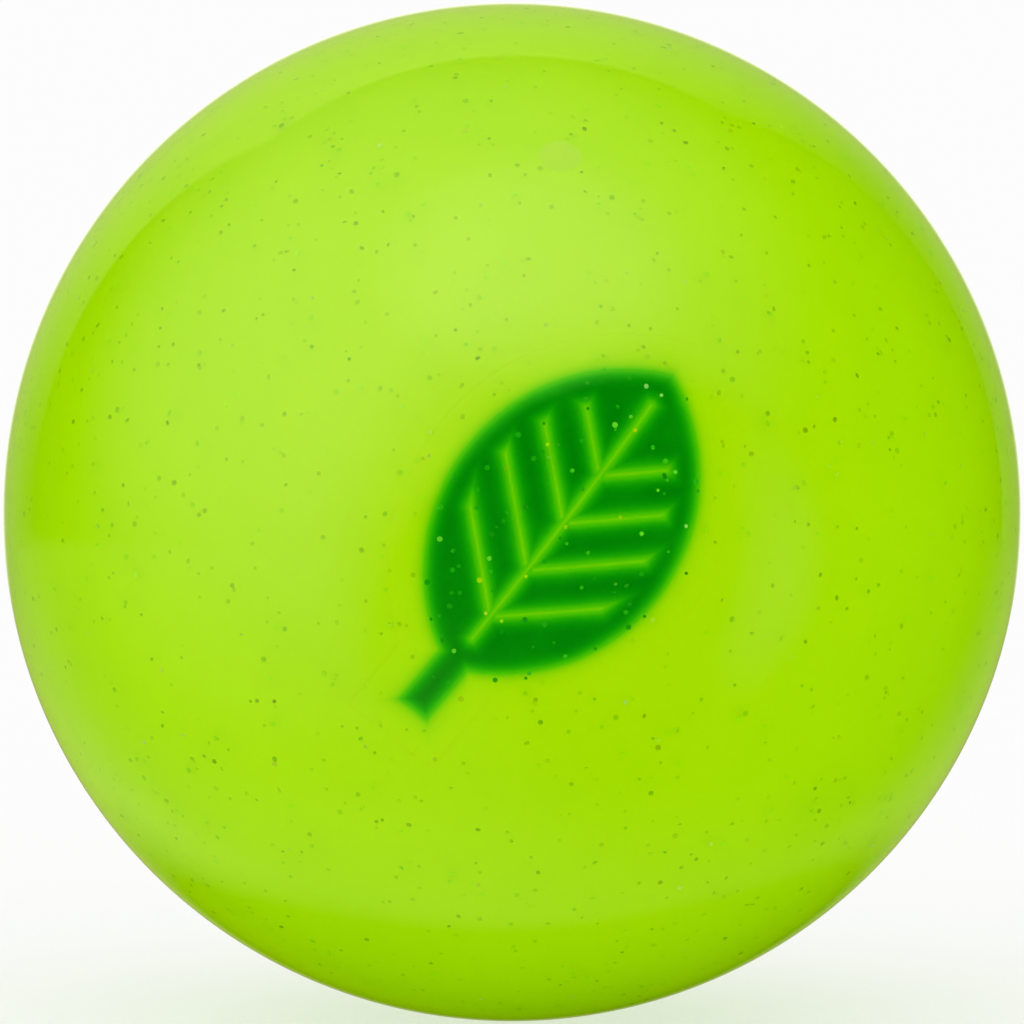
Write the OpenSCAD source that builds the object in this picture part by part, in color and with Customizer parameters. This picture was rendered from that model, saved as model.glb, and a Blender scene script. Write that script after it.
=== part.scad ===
// Ground golf ball: a hollow core of two welded halves carries a printed mark, and a one-piece
// translucent cover with glitter in it is moulded round both.
// Millimetres, +Z up, origin at the centre of the ball, printed mark towards -Y.

/* [Ball] */
// Outside diameter of the ball
ball_d = 60; // [56:0.5:66]
// Thickness of the translucent cover over the core
cover_t = 4; // [3:0.25:6]
// Diameter of the flat where the moulding gate was trimmed
gate_d = 2.4; // [1:0.1:5]
// Height of the gate above the middle of the ball, as an angle
gate_lat = 46; // [30:1:80]
// Turn of the gate from the front of the ball towards +X, as an angle
gate_lon = 3.5; // [-60:0.5:60]

/* [Core] */
// Wall thickness of the hollow core
core_wall = 6; // [5:0.25:8]
// Radial width of the tongue on the front half
tongue_w = 2; // [1.2:0.1:2.6]
// Height of the tongue above the seam
tongue_h = 2; // [1:0.1:3]
// Gap between the tongue and each side of its groove
tongue_clearance = 0.1; // [0.05:0.01:0.2]
// Height of the welding ridge along the top of the tongue
ridge_h = 0.4; // [0.2:0.05:0.6]
// Width of the welding ridge at its foot
ridge_w = 0.8; // [0.4:0.1:1]
// Bevel at the outer edge of the seam, on each half
seam_bevel = 0.15; // [0.05:0.05:0.5]

/* [Printed mark] */
// Length of the leaf blade
leaf_l = 19; // [12:0.5:24]
// Width of the leaf blade
leaf_w = 12.5; // [8:0.5:16]
// Length of the leaf stalk beyond the blade
stalk_l = 3; // [1:0.25:5]
// Width of the leaf stalk
stalk_w = 1.3; // [0.8:0.1:2]
// Width of the bare veins
vein_w = 0.8; // [0.5:0.05:1]
// Side veins on each half of the blade
vein_count = 4; // [2:1:5]
// Angle of the side veins from the midrib
vein_angle = 48; // [35:1:60]
// Inked border between the veins and the edge of the blade
leaf_border = 1.1; // [0.6:0.1:1.6]
// Lean of the leaf from upright
leaf_lean = 38; // [0:1:90]
// Thickness of the ink film
ink_t = 0.05; // [0.03:0.01:0.1]

/* [Glitter] */
// Number of flakes in the cover
flake_count = 200; // [60:10:300]
// Width of a hexagonal flake across its flats
flake_w = 0.24; // [0.2:0.02:0.5]
// Thickness of a flake
flake_t = 0.05; // [0.04:0.01:0.1]
// Largest tilt of a flake out of the flow of the resin
flake_tilt = 38; // [10:1:60]
// Resin left between the flakes and both faces of the cover
flake_margin = 0.2; // [0.15:0.05:0.6]
// Seed of the scatter of the flakes
flake_seed = 7; // [1:1:99]

/* [Hidden] */
$fn = 96;

ball_r = ball_d / 2;
core_r = ball_r - cover_t;
cavity_r = core_r - core_wall;
tongue_r = (core_r + cavity_r) / 2;

// The gate is a plane cut, as far from the centre as leaves a flat of the stated diameter
gate_height = sqrt(ball_r * ball_r - gate_d * gate_d / 4);
gate_cap = ball_r - gate_height;

// Each side of the leaf blade is an arc through its base and its tip
leaf_arc_r = (leaf_l * leaf_l + leaf_w * leaf_w) / (4 * leaf_w);
vein_pitch = leaf_l / (vein_count + 2);

// Golden angle, which spreads the flakes evenly round the ball
golden_angle = 180 * (3 - sqrt(5));
// Share of the distance to the next flake by which a flake may stray
flake_stray = 0.35;
flake_pitch = sqrt(4 * PI / flake_count) * 180 / PI;
flake_d = flake_w / cos(30);
// Half the depth of resin that the most tilted flake takes up
flake_reach = (flake_d * sin(flake_tilt) + flake_t) / 2;
flake_low_r = core_r + ink_t + flake_margin + flake_reach;
flake_high_r = ball_r - flake_margin - flake_reach;
stray_lat = rands(-1, 1, flake_count, flake_seed);
stray_lon = rands(-1, 1, flake_count, flake_seed + 1);
flake_depth = rands(0, 1, flake_count, flake_seed + 2);
flake_lean = rands(0, 1, flake_count, flake_seed + 3);
flake_turn = rands(0, 360, flake_count, flake_seed + 4);

// Turns a shape made round +Z so that its top faces the front of the ball
module face_front() {
    rotate([90, 0, 0]) children();
}

// Square-edged ring round the core's axis, from r_in to r_out and from z_low to z_high
module ring(r_in, r_out, z_low, z_high) {
    rotate_extrude()
        translate([r_in, z_low])
            square([r_out - r_in, z_high - z_low]);
}

// Bevelled notch round the outer edge of the seam, half in each half of the core
module seam_notch() {
    rotate_extrude()
        translate([core_r, 0])
            circle(r = seam_bevel, $fn = 4);
}

// Outside of the whole core, filled
module core_body() {
    difference() {
        sphere(r = core_r);
        seam_notch();
    }
}

// Half of the hollow core, above the seam for side = 1 and below it for side = -1
module core_half(side) {
    difference() {
        core_body();
        sphere(r = cavity_r);
        translate([-core_r, -core_r, side > 0 ? -2 * core_r : 0])
            cube([2 * core_r, 2 * core_r, 2 * core_r]);
    }
}

// Tongue that reaches depth below the seam, grown sideways by gap
module tongue(depth, gap) {
    ring(tongue_r - tongue_w / 2 - gap, tongue_r + tongue_w / 2 + gap, -depth, 0);
}

// Pointed ridge that melts first when the halves are welded, at rest on the floor of the groove
module welding_ridge() {
    rotate_extrude()
        translate([tongue_r, -tongue_h])
            polygon([[-ridge_w / 2, 0], [0, -ridge_h], [ridge_w / 2, 0]]);
}

module core_front() {
    color("yellowgreen")
        face_front()
            union() {
                core_half(1);
                tongue(tongue_h, 0);
                welding_ridge();
            }
}

module core_rear() {
    color("olivedrab")
        face_front()
            difference() {
                core_half(-1);
                tongue(tongue_h + ridge_h, tongue_clearance);
            }
}

// Leaf blade with its edge drawn in by inset
module blade(inset) {
    intersection_for(side = [-1, 1])
        translate([side * (leaf_arc_r - leaf_w / 2), 0])
            circle(r = leaf_arc_r - inset);
}

// Bare lines of the midrib and the side veins, clear of the border
module veins() {
    intersection() {
        blade(leaf_border);
        union() {
            translate([-vein_w / 2, -leaf_l / 2])
                square([vein_w, leaf_l]);
            for (side = [-1, 1], i = [1 : vein_count])
                translate([0, -leaf_l / 2 + i * vein_pitch])
                    rotate(-side * vein_angle)
                        translate([-vein_w / 2, 0])
                            square([vein_w, leaf_w]);
        }
    }
}

module leaf() {
    rotate(-leaf_lean)
        translate([0, stalk_l / 2]) {
            difference() {
                blade(0);
                veins();
            }
            translate([-stalk_w / 2, -leaf_l / 2 - stalk_l])
                square([stalk_w, stalk_l + leaf_border]);
        }
}

module printed_mark() {
    color("green")
        face_front()
            intersection() {
                difference() {
                    sphere(r = core_r + ink_t);
                    sphere(r = core_r);
                }
                linear_extrude(height = ball_r)
                    leaf();
            }
}

// One flake, at its own place, depth and tilt
module flake(i) {
    lat = asin(1 - (2 * i + 1) / flake_count) + stray_lat[i] * flake_stray * flake_pitch;
    lon = i * golden_angle + stray_lon[i] * flake_stray * flake_pitch;
    r = flake_low_r + flake_depth[i] * (flake_high_r - flake_low_r);
    rotate([0, 90 - lat, lon])
        translate([0, 0, r])
            rotate([flake_lean[i] * flake_tilt, 0, flake_turn[i]])
                cylinder(h = flake_t, d = flake_d, center = true, $fn = 6);
}

module glitter_flakes() {
    color("gainsboro")
        for (i = [0 : flake_count - 1])
            flake(i);
}

// Thin cap that is trimmed off the cover at the gate
module gate_trim() {
    rotate([0, 90 - gate_lat, gate_lon - 90])
        translate([0, 0, gate_height])
            cylinder(h = 2 * gate_cap, r = gate_d);
}

module cover() {
    color("greenyellow", 0.5)
        difference() {
            sphere(r = ball_r);
            face_front() core_body();
            printed_mark();
            glitter_flakes();
            gate_trim();
        }
}

core_front();
core_rear();
printed_mark();
glitter_flakes();
cover();
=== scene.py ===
"""Looks of the ground golf ball: a lime core with a printed leaf, in a clear lime cover with glitter.

Metres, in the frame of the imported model: origin at the centre of the ball, +Z up, printed leaf towards -Y.
"""

import math

import bmesh
import bpy
import numpy as np
from mathutils import Matrix, Vector


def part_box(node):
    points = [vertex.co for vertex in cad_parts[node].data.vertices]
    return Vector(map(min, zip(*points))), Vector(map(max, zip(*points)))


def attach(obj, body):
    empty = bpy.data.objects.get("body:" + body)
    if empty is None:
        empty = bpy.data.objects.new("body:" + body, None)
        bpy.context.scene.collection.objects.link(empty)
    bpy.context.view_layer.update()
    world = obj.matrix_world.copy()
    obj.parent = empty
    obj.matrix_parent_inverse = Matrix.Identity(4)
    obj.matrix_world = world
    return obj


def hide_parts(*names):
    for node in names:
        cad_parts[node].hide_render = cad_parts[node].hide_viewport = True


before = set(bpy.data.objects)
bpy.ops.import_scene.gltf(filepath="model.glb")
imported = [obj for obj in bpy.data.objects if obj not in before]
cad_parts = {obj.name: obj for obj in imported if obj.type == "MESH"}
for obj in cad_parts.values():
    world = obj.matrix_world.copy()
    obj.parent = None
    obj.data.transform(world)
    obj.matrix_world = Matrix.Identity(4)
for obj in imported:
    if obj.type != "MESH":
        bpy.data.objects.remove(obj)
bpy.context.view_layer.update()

MM = 0.001

# Sizes read from the frame
BALL_R = (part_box("cover")[1].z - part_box("cover")[0].z) / 2
CORE_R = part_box("core_rear")[1].y
RIDGE_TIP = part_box("core_front")[1].y

# The core's wall and its seam
CORE_WALL = 6 * MM
CAVITY_R = CORE_R - CORE_WALL
TONGUE_R = (CORE_R + CAVITY_R) / 2
TONGUE_W = 2 * MM
TONGUE_CLEARANCE = 0.1 * MM
RIDGE_W = 0.8 * MM
RIDGE_H = 0.4 * MM
TONGUE_H = RIDGE_TIP - RIDGE_H
SEAM_BEVEL = 0.15 * MM

# The trimmed moulding gate on the cover
GATE_D = 2.4 * MM
GATE_LON = 3.5
GATE_LAT = 46

# The printed leaf
LEAF_L = 19 * MM
LEAF_W = 12.5 * MM
STALK_L = 3 * MM
STALK_W = 1.3 * MM
VEIN_W = 0.8 * MM
VEIN_COUNT = 4
VEIN_ANGLE = 48
LEAF_BORDER = 1.1 * MM
LEAF_LEAN = 38
INK_T = 0.05 * MM
INK_GRID = 0.1 * MM
# Softness of the ink's edge, the painted shade round the leaf as a share of full ink, and how far that shade
# runs
INK_SOFTNESS = 0.24 * MM
PAINTED_SHADE_SHARE = 0.045
PAINTED_SHADE_FADE = 1.2 * MM
# Share of dye too small to see, at which the film ends
INK_TRACE = 0.008
PAINTED_SHADE_REACH = PAINTED_SHADE_FADE * math.log(PAINTED_SHADE_SHARE / INK_TRACE)

# The fine glitter between the larger flakes
FLAKE_SIDES = 6
GLITTER_COUNT = 3600
GLITTER_W = (0.17 * MM, 0.32 * MM)
GLITTER_T = 0.03 * MM
GLITTER_TILT = 40
GLITTER_SEED = 11

# Fineness of the turned surfaces, and the radius below which a point lies on their axis
TURN_STEPS = 256
ARC_STEPS = 180
POLE_R = 1e-9
# Degrees between two faces above which their edge is sharp, and the same for the shallow edge of the gate
SHARP_ANGLE = 30
GATE_SHARP_ANGLE = 1.8


def direction(lon, lat):
    """Unit vector lon degrees round from the front towards +X, and lat degrees above the horizontal."""
    a, b = math.radians(lon), math.radians(lat)
    return Vector((math.sin(a) * math.cos(b), -math.cos(a) * math.cos(b), math.sin(b)))


def new_piece(name, vertices, faces, material, sharp_angle=SHARP_ANGLE):
    """A smooth-shaded mesh object whose edges stay sharp above sharp_angle degrees."""
    mesh = bpy.data.meshes.new(name)
    mesh.from_pydata([tuple(v) for v in vertices], [], [tuple(f) for f in faces])
    mesh.validate()
    work = bmesh.new()
    work.from_mesh(mesh)
    bmesh.ops.recalc_face_normals(work, faces=work.faces)
    work.to_mesh(mesh)
    work.free()
    mesh.shade_smooth()
    mesh.set_sharp_from_angle(angle=math.radians(sharp_angle))
    mesh.materials.append(material)
    piece = bpy.data.objects.new(name, mesh)
    bpy.context.scene.collection.objects.link(piece)
    return piece


def arc(radius, start, end, steps):
    """Points (r, h) on a circle about the origin, from start to end degrees away from the axis."""
    angles = np.radians(np.linspace(start, end, steps + 1))
    return [(radius * math.sin(a), radius * math.cos(a)) for a in angles]


def turned(profile, axis, first=0):
    """Vertices and faces of a profile of (r, h) points turned about axis, with poles where r is nil."""
    turn = axis.to_track_quat("Z", "Y").to_matrix()
    vertices, rings = [], []
    for r, h in profile:
        count = TURN_STEPS if r > POLE_R else 1
        rings.append([first + len(vertices) + i for i in range(count)])
        for i in range(count):
            a = 2 * math.pi * i / TURN_STEPS
            vertices.append(turn @ Vector((r * math.cos(a), r * math.sin(a), h)))
    faces = []
    for low, high in zip(rings, rings[1:]):
        for i in range(TURN_STEPS):
            j = (i + 1) % TURN_STEPS
            corners = [low[i % len(low)], low[j % len(low)], high[j % len(high)], high[i % len(high)]]
            faces.append(list(dict.fromkeys(corners)))
    return vertices, faces


# Materials


def new_material(name):
    """A new material, with its nodes and their links."""
    material = bpy.data.materials.new(name)
    material.use_nodes = True
    return material, material.node_tree.nodes, material.node_tree.links


def noise(nodes, links, scale, detail):
    """Noise in the object's own space, with scale features to the metre."""
    place = nodes.new("ShaderNodeTexCoord")
    texture = nodes.new("ShaderNodeTexNoise")
    texture.inputs["Scale"].default_value = scale
    texture.inputs["Detail"].default_value = detail
    links.new(place.outputs["Object"], texture.inputs["Vector"])
    return texture.outputs["Fac"]


def mixed(nodes, links, factor, a, b, blend="MIX"):
    """Colours a and b, each a colour or a socket, mixed or blended by a factor."""
    mix = nodes.new("ShaderNodeMix")
    mix.data_type = "RGBA"
    mix.blend_type = blend
    if isinstance(factor, bpy.types.NodeSocket):
        links.new(factor, mix.inputs["Factor"])
    else:
        mix.inputs["Factor"].default_value = factor
    for socket, value in (("A", a), ("B", b)):
        target = [s for s in mix.inputs if s.name == socket and s.type == "RGBA"][0]
        if isinstance(value, bpy.types.NodeSocket):
            links.new(value, target)
        else:
            target.default_value = (*value, 1)
    return [s for s in mix.outputs if s.type == "RGBA"][0]


def spread(nodes, links, value, low, high, to_low=0.0, to_high=1.0, curve="LINEAR"):
    """Value mapped from low..high to to_low..to_high and held there."""
    node = nodes.new("ShaderNodeMapRange")
    node.interpolation_type = curve
    links.new(value, node.inputs["Value"])
    node.inputs["From Min"].default_value = low
    node.inputs["From Max"].default_value = high
    node.inputs["To Min"].default_value = to_low
    node.inputs["To Max"].default_value = to_high
    return node.outputs["Result"]


def arithmetic(nodes, links, operation, a, b):
    """Result of a sum on a and b, each a number or a socket."""
    node = nodes.new("ShaderNodeMath")
    node.operation = operation
    for socket, value in zip(node.inputs, (a, b)):
        if isinstance(value, bpy.types.NodeSocket):
            links.new(value, socket)
        else:
            socket.default_value = value
    return node.outputs["Value"]


# Colours of the core and of the ink on it, and the roughness of both and of the flakes
CORE_LIME = (0.895, 0.93, 0.002)
CORE_LIME_DEEP = (0.855, 0.91, 0.001)
INK_GREEN = (0.001, 0.26, 0.006)
RESIN_ROUGHNESS = 0.6
FLAKE_ROUGHNESS = 0.4

# Features per metre and levels of detail of the clouds in the lime, the patches in the ink,
# and the polish and the ripple of the skin
CLOUD_NOISE = (90, 3)
PATCH_NOISE = (420, 4)
POLISH_NOISE = (160, 3)
RIPPLE_NOISE = (350, 2)
# Part of the noise's range over which the first three change
CLOUD_BAND = (0.35, 0.65)
PATCH_BAND = (0.4, 0.7)
POLISH_BAND = (0.3, 0.7)
# Depth of the ink in its thin patches, as a share, and the steps in which its colour is worked out
THIN_INK = 0.9
DYE_STEPS = 4

# The cover's skin: how it bends light, its tint, its roughness with the shares of it in smooth and dull
# patches, and its ripple
COVER_IOR = 1.5
COVER_TINT = (0.97, 1.0, 0.93)
COVER_POLISH = 0.05
POLISH_SHARES = (0.6, 1.4)
RIPPLE_STRENGTH = 0.25
RIPPLE_HEIGHT = 0.004 * MM
# The lime of the cover, how fast it deepens in the cover and under the flat of the gate, and the flat's haze
COVER_LIME = (0.70, 0.995, 0.20)
COVER_DENSITY = 130
GATE_DENSITY = 95
GATE_HAZE = 0.025

# Tints of the glitter, each with the share of the flakes at which it starts; as the flakes are matt, the
# darker tints paint the dark they would mirror and the two pale ones paint glints
GLITTER_TINTS = {
    0.0: (0.78, 0.97, 0.003),
    0.45: (0.70, 0.89, 0.002),
    0.75: (0.60, 0.79, 0.002),
    0.90: (0.48, 0.66, 0.002),
    0.955: (0.87, 1.0, 0.08),
    0.985: (0.92, 1.0, 0.30),
    0.997: (0.50, 0.30, 0.05),
}
# The same over the print: painted reflection of the print's green light on the flakes, with a pale one that
# paints a glint
PRINT_REFLECTION_TINTS = {
    0.0: (0.25, 0.92, 0.06),
    0.10: (0.10, 0.70, 0.03),
    0.23: (0.045, 0.58, 0.02),
    0.45: (0.022, 0.48, 0.013),
    0.95: (0.52, 1.0, 0.37),
}


def make_matt(shader, roughness):
    """Sets a shader's roughness and takes its gloss away."""
    shader.inputs["Roughness"].default_value = roughness
    shader.inputs["Specular IOR Level"].default_value = 0.0


def lime(nodes, links):
    """The core's colour, with the faint clouding of a moulded resin."""
    cloud = spread(nodes, links, noise(nodes, links, *CLOUD_NOISE), *CLOUD_BAND)
    return mixed(nodes, links, cloud, CORE_LIME, CORE_LIME_DEEP)


def core_material():
    """The core's matt lime resin."""
    material, nodes, links = new_material("core_resin")
    shader = nodes["Principled BSDF"]
    links.new(lime(nodes, links), shader.inputs["Base Color"])
    make_matt(shader, RESIN_ROUGHNESS)
    return material


def ink_material():
    """Green ink that dyes the lime under it as deep as the mesh's own attribute says; round the leaf the
    same attribute paints shade on the lime.
    """
    material, nodes, links = new_material("green_ink")
    shader = nodes["Principled BSDF"]
    film = nodes.new("ShaderNodeAttribute")
    film.attribute_name = "ink"
    patchy = spread(nodes, links, noise(nodes, links, *PATCH_NOISE), *PATCH_BAND, 1.0, THIN_INK)
    depth = arithmetic(nodes, links, "MULTIPLY", film.outputs["Fac"], patchy)
    dye = nodes.new("ShaderNodeValToRGB")
    ramp = dye.color_ramp
    ramp.elements[0].color = (1, 1, 1, 1)
    for step in range(DYE_STEPS, 0, -1):
        share = step / DYE_STEPS
        stop = ramp.elements.new(share) if share < 1 else ramp.elements[1]
        stop.color = (*((ink / bare) ** share for ink, bare in zip(INK_GREEN, CORE_LIME)), 1)
    links.new(depth, dye.inputs["Fac"])
    dyed = mixed(nodes, links, 1.0, lime(nodes, links), dye.outputs["Color"], "MULTIPLY")
    links.new(dyed, shader.inputs["Base Color"])
    make_matt(shader, RESIN_ROUGHNESS)
    return material


def flake_tint(nodes, links, tints):
    """One of the tints, by the lot of each flake."""
    flake = nodes.new("ShaderNodeNewGeometry")
    chosen = nodes.new("ShaderNodeValToRGB")
    ramp = chosen.color_ramp
    ramp.interpolation = "CONSTANT"
    ramp.elements.remove(ramp.elements[1])
    for start, tint in tints.items():
        stop = ramp.elements.new(start) if start > 0 else ramp.elements[0]
        stop.color = (*tint, 1)
    links.new(flake.outputs["Random Per Island"], chosen.inputs["Fac"])
    return chosen.outputs["Color"]


def glitter_material():
    """Matt film whose tint changes from flake to flake, painting their glints and dark, and over the print
    paints the print's green light reflected on them.
    """
    material, nodes, links = new_material("glitter")
    shader = nodes["Principled BSDF"]
    over = nodes.new("ShaderNodeAttribute")
    over.attribute_name = "over_print"
    plain = flake_tint(nodes, links, GLITTER_TINTS)
    # Painted reflection: flakes in front of the print take its green as their colour
    print_reflection = flake_tint(nodes, links, PRINT_REFLECTION_TINTS)
    links.new(mixed(nodes, links, over.outputs["Fac"], plain, print_reflection), shader.inputs["Base Color"])
    make_matt(shader, FLAKE_ROUGHNESS)
    return material


def cover_material(name, haze, density):
    """Clear lime resin of some density, with a polished, faintly rippled skin that may be hazed."""
    material, nodes, links = new_material(name)
    shader = nodes["Principled BSDF"]
    shader.inputs["Base Color"].default_value = (*COVER_TINT, 1)
    shader.inputs["Transmission Weight"].default_value = 1 - haze
    shader.inputs["IOR"].default_value = COVER_IOR
    smooth, dull = (share * COVER_POLISH for share in POLISH_SHARES)
    polish = spread(nodes, links, noise(nodes, links, *POLISH_NOISE), *POLISH_BAND, smooth, dull)
    links.new(polish, shader.inputs["Roughness"])
    ripple = nodes.new("ShaderNodeBump")
    ripple.inputs["Strength"].default_value = RIPPLE_STRENGTH
    ripple.inputs["Distance"].default_value = RIPPLE_HEIGHT
    links.new(noise(nodes, links, *RIPPLE_NOISE), ripple.inputs["Height"])
    links.new(ripple.outputs["Normal"], shader.inputs["Normal"])
    tint = nodes.new("ShaderNodeVolumeAbsorption")
    tint.inputs["Color"].default_value = (*COVER_LIME, 1)
    tint.inputs["Density"].default_value = density
    links.new(tint.outputs["Volume"], nodes["Material Output"].inputs["Volume"])
    return material


# Pieces


def make_core(material):
    """Both halves of the hollow core, with the tongue of one in the groove of the other."""
    front, rear = Vector((0, -1, 0)), Vector((0, 1, 0))
    seam_start = math.degrees(math.acos(SEAM_BEVEL / CORE_R))
    outside = arc(CORE_R, 0, seam_start, ARC_STEPS // 2) + [(CORE_R - SEAM_BEVEL, 0)]
    inside = arc(CAVITY_R, 90, 0, ARC_STEPS // 4)
    inner, outer = TONGUE_R - TONGUE_W / 2, TONGUE_R + TONGUE_W / 2
    tongue = [(outer, 0), (outer, -TONGUE_H), (TONGUE_R + RIDGE_W / 2, -TONGUE_H)]
    tongue += [(TONGUE_R, -TONGUE_H - RIDGE_H), (TONGUE_R - RIDGE_W / 2, -TONGUE_H)]
    tongue += [(inner, -TONGUE_H), (inner, 0)]
    near, far = inner - TONGUE_CLEARANCE, outer + TONGUE_CLEARANCE
    depth = TONGUE_H + RIDGE_H
    groove = [(far, 0), (far, depth), (near, depth), (near, 0)]
    for node, profile, axis in (
        ("core_front", outside + tongue + inside, front),
        ("core_rear", outside + groove + inside, rear),
    ):
        piece = new_piece(node + "_shell", *turned(profile, axis), material)
        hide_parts(node)
        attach(piece, "root")


def leaf_distance(x, z):
    """Signed distance from points on the front to the edge of the inked leaf, negative in the ink."""
    lean = math.radians(LEAF_LEAN)
    u = x * math.cos(lean) - z * math.sin(lean)
    v = x * math.sin(lean) + z * math.cos(lean) - STALK_L / 2
    arc_r = (LEAF_L**2 + LEAF_W**2) / (4 * LEAF_W)
    blade = np.hypot(np.abs(u) + arc_r - LEAF_W / 2, v) - arc_r
    veins = np.maximum(np.abs(u) - VEIN_W / 2, np.abs(v) - LEAF_L / 2)
    angle = math.radians(VEIN_ANGLE)
    pitch = LEAF_L / (VEIN_COUNT + 2)
    for i in range(1, VEIN_COUNT + 1):
        along_v = v + LEAF_L / 2 - i * pitch
        across = np.abs(u) * math.cos(angle) - along_v * math.sin(angle)
        along = np.abs(u) * math.sin(angle) + along_v * math.cos(angle)
        veins = np.minimum(veins, np.maximum(np.abs(across) - VEIN_W / 2, -along))
    veins = np.maximum(veins, blade + LEAF_BORDER)
    stalk_v = v + LEAF_L / 2 + (STALK_L - LEAF_BORDER) / 2
    stalk = np.maximum(np.abs(u) - STALK_W / 2, np.abs(stalk_v) - (STALK_L + LEAF_BORDER) / 2)
    return np.minimum(np.maximum(blade, -veins), stalk)


def make_ink(material):
    """A closed film on the core that covers the leaf, the soft edge where its ink runs out and the painted
    shade round it.
    """
    half = (LEAF_L + STALK_L) / 2 + PAINTED_SHADE_REACH
    steps = 2 * math.ceil(half / INK_GRID)
    line = np.linspace(-half, half, steps + 1)
    x, z = (g.ravel() for g in np.meshgrid(line, line, indexing="ij"))
    away = leaf_distance(x, z)
    # Painted shade: the lime round the leaf darkens a little, fading with distance from the ink
    painted_shade = PAINTED_SHADE_SHARE * np.exp(-np.maximum(away, 0) / PAINTED_SHADE_FADE)
    ink = np.clip(1 / (1 + np.exp(away / INK_SOFTNESS)) + painted_shade - INK_TRACE, 0, 1)

    corner = np.arange((steps + 1) ** 2).reshape(steps + 1, steps + 1)
    quads = np.stack([corner[:-1, :-1], corner[1:, :-1], corner[1:, 1:], corner[:-1, 1:]], -1).reshape(-1, 4)
    quads = quads[ink[quads].max(1) > 0]
    used = np.unique(quads)
    quads = np.searchsorted(used, quads)
    x, z, ink = x[used], z[used], ink[used]

    def layer(radius):
        return np.stack([x, -np.sqrt(radius**2 - x**2 - z**2), z], -1)

    count = len(used)
    vertices = np.concatenate([layer(CORE_R + INK_T), layer(CORE_R - INK_T)])
    sides = [tuple(q[[i, (i + 1) % 4]]) for q in quads for i in range(4)]
    known = set(sides)
    walls = [(a, b, b + count, a + count) for a, b in sides if (b, a) not in known]
    faces = [*quads.tolist(), *(quads[:, ::-1] + count).tolist(), *walls]
    piece = new_piece("printed_leaf", vertices, faces, material)
    attribute = piece.data.attributes.new("ink", "FLOAT", "POINT")
    attribute.data.foreach_set("value", np.tile(ink, 2).astype(np.float32))
    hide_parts("printed_mark")
    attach(piece, "root")


def over_print(place):
    """Whether a place in the cover lies in front of the inked leaf."""
    out = place.normalized()
    return out.y < 0 and leaf_distance(out.x * CORE_R, out.z * CORE_R) < INK_SOFTNESS


def mark_over_print(mesh, marks):
    """Tells the glitter's material which vertices lie in front of the inked leaf."""
    attribute = mesh.attributes.new("over_print", "FLOAT", "POINT")
    attribute.data.foreach_set("value", np.array(marks, np.float32))


def make_glitter(material):
    """Fine hexagonal flakes at random places and depths in the cover."""
    draw = np.random.default_rng(GLITTER_SEED)
    low_r, high_r = CORE_R + INK_T + GLITTER_W[1], BALL_R - GLITTER_W[1]
    vertices, faces, marks = [], [], []
    for _ in range(GLITTER_COUNT):
        up = draw.normal(size=3)
        out = Vector(up / np.linalg.norm(up))
        place = out * draw.uniform(low_r, high_r)
        marks += 2 * FLAKE_SIDES * [over_print(place)]
        width = GLITTER_W[0] + (GLITTER_W[1] - GLITTER_W[0]) * draw.random() ** 2
        lean = math.radians(GLITTER_TILT) * draw.random()
        turn = out.to_track_quat("Z", "Y").to_matrix()
        turn = turn @ Matrix.Rotation(draw.uniform(0, 2 * math.pi), 3, "Z") @ Matrix.Rotation(lean, 3, "X")
        reach = width / 2 / math.cos(math.pi / FLAKE_SIDES)
        first, second = len(vertices), len(vertices) + FLAKE_SIDES
        for h in (-GLITTER_T / 2, GLITTER_T / 2):
            for i in range(FLAKE_SIDES):
                a = 2 * math.pi * i / FLAKE_SIDES
                corner = Vector((reach * math.cos(a), reach * math.sin(a), h))
                vertices.append(place + turn @ corner)
        faces.append([first + i for i in reversed(range(FLAKE_SIDES))])
        faces.append([second + i for i in range(FLAKE_SIDES)])
        for i in range(FLAKE_SIDES):
            j = (i + 1) % FLAKE_SIDES
            faces.append([first + i, first + j, second + j, second + i])
    piece = new_piece("fine_glitter", vertices, faces, material)
    mark_over_print(piece.data, marks)
    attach(piece, "root")
    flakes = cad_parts["glitter_flakes"]
    flakes.data.materials.clear()
    flakes.data.materials.append(material)
    mark_over_print(flakes.data, [over_print(flakes.matrix_world @ v.co) for v in flakes.data.vertices])


def make_cover(skin, cut):
    """The cover's skin, turned about its trimmed gate, and its inner face, just inside the core."""
    axis = direction(GATE_LON, GATE_LAT)
    edge = math.degrees(math.asin(GATE_D / 2 / BALL_R))
    height = BALL_R * math.cos(math.radians(edge))
    flat = [(0, height), (GATE_D / 4, height)]
    vertices, faces = turned(flat + arc(BALL_R, edge, 180, ARC_STEPS), axis)
    lining = turned(arc(CORE_R - 2 * SEAM_BEVEL, 0, 180, ARC_STEPS // 2), axis, len(vertices))
    piece = new_piece("cover_shell", vertices + lining[0], faces + lining[1], skin, GATE_SHARP_ANGLE)
    piece.data.materials.append(cut)
    # The flat of the gate comes first among the faces
    for face in piece.data.polygons[:len(flat) * TURN_STEPS]:
        face.material_index = 1
    # The lining faces the middle of the ball
    work = bmesh.new()
    work.from_mesh(piece.data)
    bmesh.ops.reverse_faces(work, faces=list(work.faces)[len(faces):])
    work.to_mesh(piece.data)
    work.free()
    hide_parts("cover")
    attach(piece, "root")


make_core(core_material())
make_ink(ink_material())
make_glitter(glitter_material())
make_cover(
    cover_material("cover_resin", 0, COVER_DENSITY),
    cover_material("cover_gate", GATE_HAZE, GATE_DENSITY),
)


# Studio

FLOOR_R = 12
FLOOR_WHITE = (0.95, 0.95, 0.95)
FLOOR_ROUGHNESS = 0.9
FLOOR_GLOW = 0.6
WHITE = (1.0, 1.0, 1.0)
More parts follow.
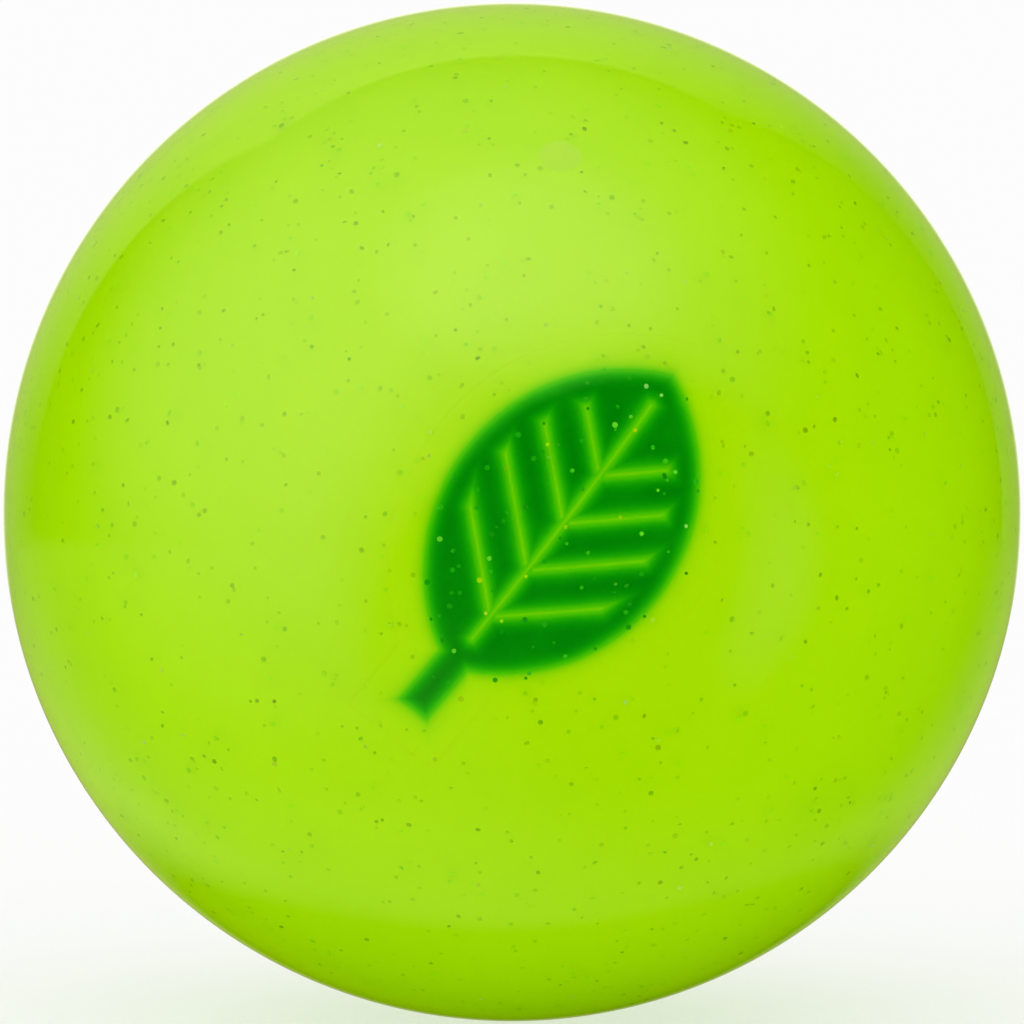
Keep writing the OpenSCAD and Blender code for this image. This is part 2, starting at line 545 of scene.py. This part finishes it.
# Strength of the even light, and the share of the lights below that adds to it
EVEN_LIGHT = 0.94
SOFT_SHARE = 0.11

# Soft round lights: lon and lat of the middle, angle of full strength, angle of reach, strength
LIGHTS = {
    "key": (4, 61, 7, 35, 0.95),
    "key spill": (-33, 51, 0, 86, 1.12),
    "left": (-54, 17, 13, 71, 0.56),
    "right": (38, -8, 0, 35, 0.82),
}
LIGHT_TINT = (1.0, 0.78, 0.69)

# The same for the dark where the camera stands, which takes the reflections of the lights away
DARK_FRONT = {
    "camera": (6, -3, 0, 59, 1.56),
}

# The same on the backdrop
BACKDROP_LIGHTS = {
    "glow": (183, 23, 12, 45, 0.3),
    "left": (200, 45, 0, 50, 0.33),
    "foot": (169, -34, 36, 62, 0.19),
}

# The same on the table, which starts below the horizon; the last one is the ball's own shade
TABLE_LIGHTS = {
    "beneath": (192, -69, 14, 57, 0.26),
    "left": (-92, -40, 42, 73, 0.19),
    "behind": (179, -26, 23, 52, 0.32),
    "shade": (177, -47, 9, 36, -1.16),
}
HORIZON = -5.4
# Tint that the backdrop and the table take from the ball
ROOM_TINT = (1.0, 1.0, 0.45)

# The same for the lime light that the ball throws on the table at both sides
BALL_GLOW = {
    "left": (-169, -21, 0, 19, 0.19),
    "right": (161, -19, 0, 19, 0.1),
}
BALL_TINT = (0.75, 1.0, 0.0)

# The same for the white right behind the ball, which only the very edge of the ball shows
WHITE_BEHIND = {
    "white": (176, -4, 2, 16, 0.75),
}

# The same for the dark flags at both sides, which take even light away
FLAGS = {
    "left": (-122, 0, 10, 50, 0.4),
    "right": (118, 0, 10, 50, 0.4),
}

# Half the width of the backdrop and its height above the ball, as shares of its distance
BACKDROP_HALF = 0.8
BACKDROP_TOP = 1.27
# Softness of its edges and of the horizon
EDGE_BLUR = 0.02


def make_floor():
    """A white table lit from within, so that the ball's shadow on it stays faint."""
    vertices, faces = turned([(0, 0), (FLOOR_R, 0)], Vector((0, 0, 1)))
    material, nodes, links = new_material("floor")
    shader = nodes["Principled BSDF"]
    shader.inputs["Base Color"].default_value = (*FLOOR_WHITE, 1)
    make_matt(shader, FLOOR_ROUGHNESS)
    glow = nodes.new("ShaderNodeEmission")
    glow.inputs["Color"].default_value = (*WHITE, 1)
    mix = nodes.new("ShaderNodeMixShader")
    mix.inputs["Fac"].default_value = FLOOR_GLOW
    links.new(shader.outputs["BSDF"], mix.inputs[1])
    links.new(glow.outputs["Emission"], mix.inputs[2])
    links.new(mix.outputs["Shader"], nodes["Material Output"].inputs["Surface"])
    floor = new_piece("floor", vertices, faces, material)
    floor.location.z = -BALL_R
    floor.visible_glossy = False


def toward(nodes, links, axis):
    """How far the direction looked in points along axis."""
    place = nodes.new("ShaderNodeTexCoord")
    dot = nodes.new("ShaderNodeVectorMath")
    dot.operation = "DOT_PRODUCT"
    links.new(place.outputs["Generated"], dot.inputs[0])
    dot.inputs[1].default_value = axis
    return dot.outputs["Value"]


def lobes(nodes, links, lights):
    """Sum of soft round lights, nowhere below nil."""
    total = 0.0
    for lon, lat, full, reach, strength in lights.values():
        edge, middle = math.cos(math.radians(reach)), math.cos(math.radians(full))
        near = toward(nodes, links, direction(lon, lat))
        lobe = spread(nodes, links, near, edge, middle, 0, strength, "SMOOTHSTEP")
        total = arithmetic(nodes, links, "ADD", lobe, total)
    return arithmetic(nodes, links, "MAXIMUM", total, 0.0)


def backdrop(nodes, links):
    """One where an upright sheet behind the ball stands, and nil beside and above it."""
    behind = toward(nodes, links, (0, 1, 0))
    across = arithmetic(nodes, links, "ABSOLUTE", toward(nodes, links, (1, 0, 0)), 0)
    half = arithmetic(nodes, links, "MULTIPLY", behind, BACKDROP_HALF)
    beside = arithmetic(nodes, links, "SUBTRACT", across, half)
    top = arithmetic(nodes, links, "MULTIPLY", behind, BACKDROP_TOP)
    over = arithmetic(nodes, links, "SUBTRACT", toward(nodes, links, (0, 0, 1)), top)
    past = arithmetic(nodes, links, "MAXIMUM", beside, over)
    return spread(nodes, links, past, -EDGE_BLUR, EDGE_BLUR, 1, 0, "SMOOTHSTEP")


def make_world():
    """Even white light all round, and the lights, backdrop and table that the polished skin shows."""
    world = bpy.data.worlds.new("studio")
    bpy.context.scene.world = world
    world.use_nodes = True
    world.cycles.sampling_method = "NONE"
    nodes, links = world.node_tree.nodes, world.node_tree.links

    def sums(operation, a, b):
        return arithmetic(nodes, links, operation, a, b)

    horizon = math.sin(math.radians(HORIZON))
    up = toward(nodes, links, (0, 0, 1))
    above = spread(nodes, links, up, horizon - EDGE_BLUR, horizon + EDGE_BLUR, 0, 1, "SMOOTHSTEP")
    sheet = sums("MULTIPLY", backdrop(nodes, links), lobes(nodes, links, BACKDROP_LIGHTS))
    table = lobes(nodes, links, TABLE_LIGHTS)
    below = sums("SUBTRACT", 1.0, above)
    room = sums("ADD", sums("MULTIPLY", above, sheet), sums("MULTIPLY", below, table))
    white = sums("MULTIPLY", above, lobes(nodes, links, WHITE_BEHIND))
    own = lobes(nodes, links, BALL_GLOW)
    lights = lobes(nodes, links, LIGHTS)
    shine = sums("MAXIMUM", sums("SUBTRACT", lights, lobes(nodes, links, DARK_FRONT)), 0.0)
    unflagged = sums("SUBTRACT", 1.0, lobes(nodes, links, FLAGS))
    even = sums("ADD", sums("MULTIPLY", unflagged, EVEN_LIGHT), sums("MULTIPLY", lights, SOFT_SHARE))

    # The skin mirrors the lights and the room; all else meets the even light, which the camera sees as white
    path = nodes.new("ShaderNodeLightPath")
    even = sums("MAXIMUM", even, path.outputs["Is Camera Ray"])
    outside = sums("SUBTRACT", 1.0, path.outputs["Is Transmission Ray"])
    gloss = sums("MULTIPLY", path.outputs["Is Glossy Ray"], outside)
    matt = sums("SUBTRACT", 1.0, gloss)
    # The layers of light are added up from a background with none
    nodes["Background"].inputs["Strength"].default_value = 0
    total = nodes["Background"].outputs["Background"]
    for colour, rays, strength in (
        (WHITE, matt, even),
        (LIGHT_TINT, gloss, shine),
        (ROOM_TINT, gloss, room),
        (BALL_TINT, gloss, own),
        (WHITE, gloss, white),
    ):
        layer = nodes.new("ShaderNodeBackground")
        layer.inputs["Color"].default_value = (*colour, 1)
        links.new(sums("MULTIPLY", rays, strength), layer.inputs["Strength"])
        added = nodes.new("ShaderNodeAddShader")
        links.new(total, added.inputs[0])
        links.new(layer.outputs["Background"], added.inputs[1])
        total = added.outputs["Shader"]
    links.new(total, nodes["World Output"].inputs["Surface"])


CAMERA_LON = -4
CAMERA_LAT = 4
CAMERA_DISTANCE = 0.5
CAMERA_NEAR = 0.01
SENSOR_W = 36
# Side of the picture in pixels, and the width of the ball's outline in it
IMAGE_SIDE = 1024
BALL_PIXELS = 1018.4


def make_camera():
    """A camera whose frame the ball fills as far as in the photograph."""
    data = bpy.data.cameras.new("camera")
    camera = bpy.data.objects.new("camera", data)
    bpy.context.scene.collection.objects.link(camera)
    back = direction(CAMERA_LON, CAMERA_LAT)
    camera.location = back * CAMERA_DISTANCE
    camera.rotation_euler = (-back).to_track_quat("-Z", "Y").to_euler()
    outline = math.tan(math.asin(BALL_R / CAMERA_DISTANCE))
    data.sensor_width = SENSOR_W
    data.lens = SENSOR_W / 2 / (outline * IMAGE_SIDE / BALL_PIXELS)
    data.clip_start, data.clip_end = CAMERA_NEAR, 2 * FLOOR_R
    bpy.context.scene.camera = camera


make_floor()
make_world()
make_camera()
bpy.context.scene.view_settings.view_transform = "Standard"
# Keeps the light that the polished cover turns back onto the core
bpy.context.scene.cycles.blur_glossy = 0
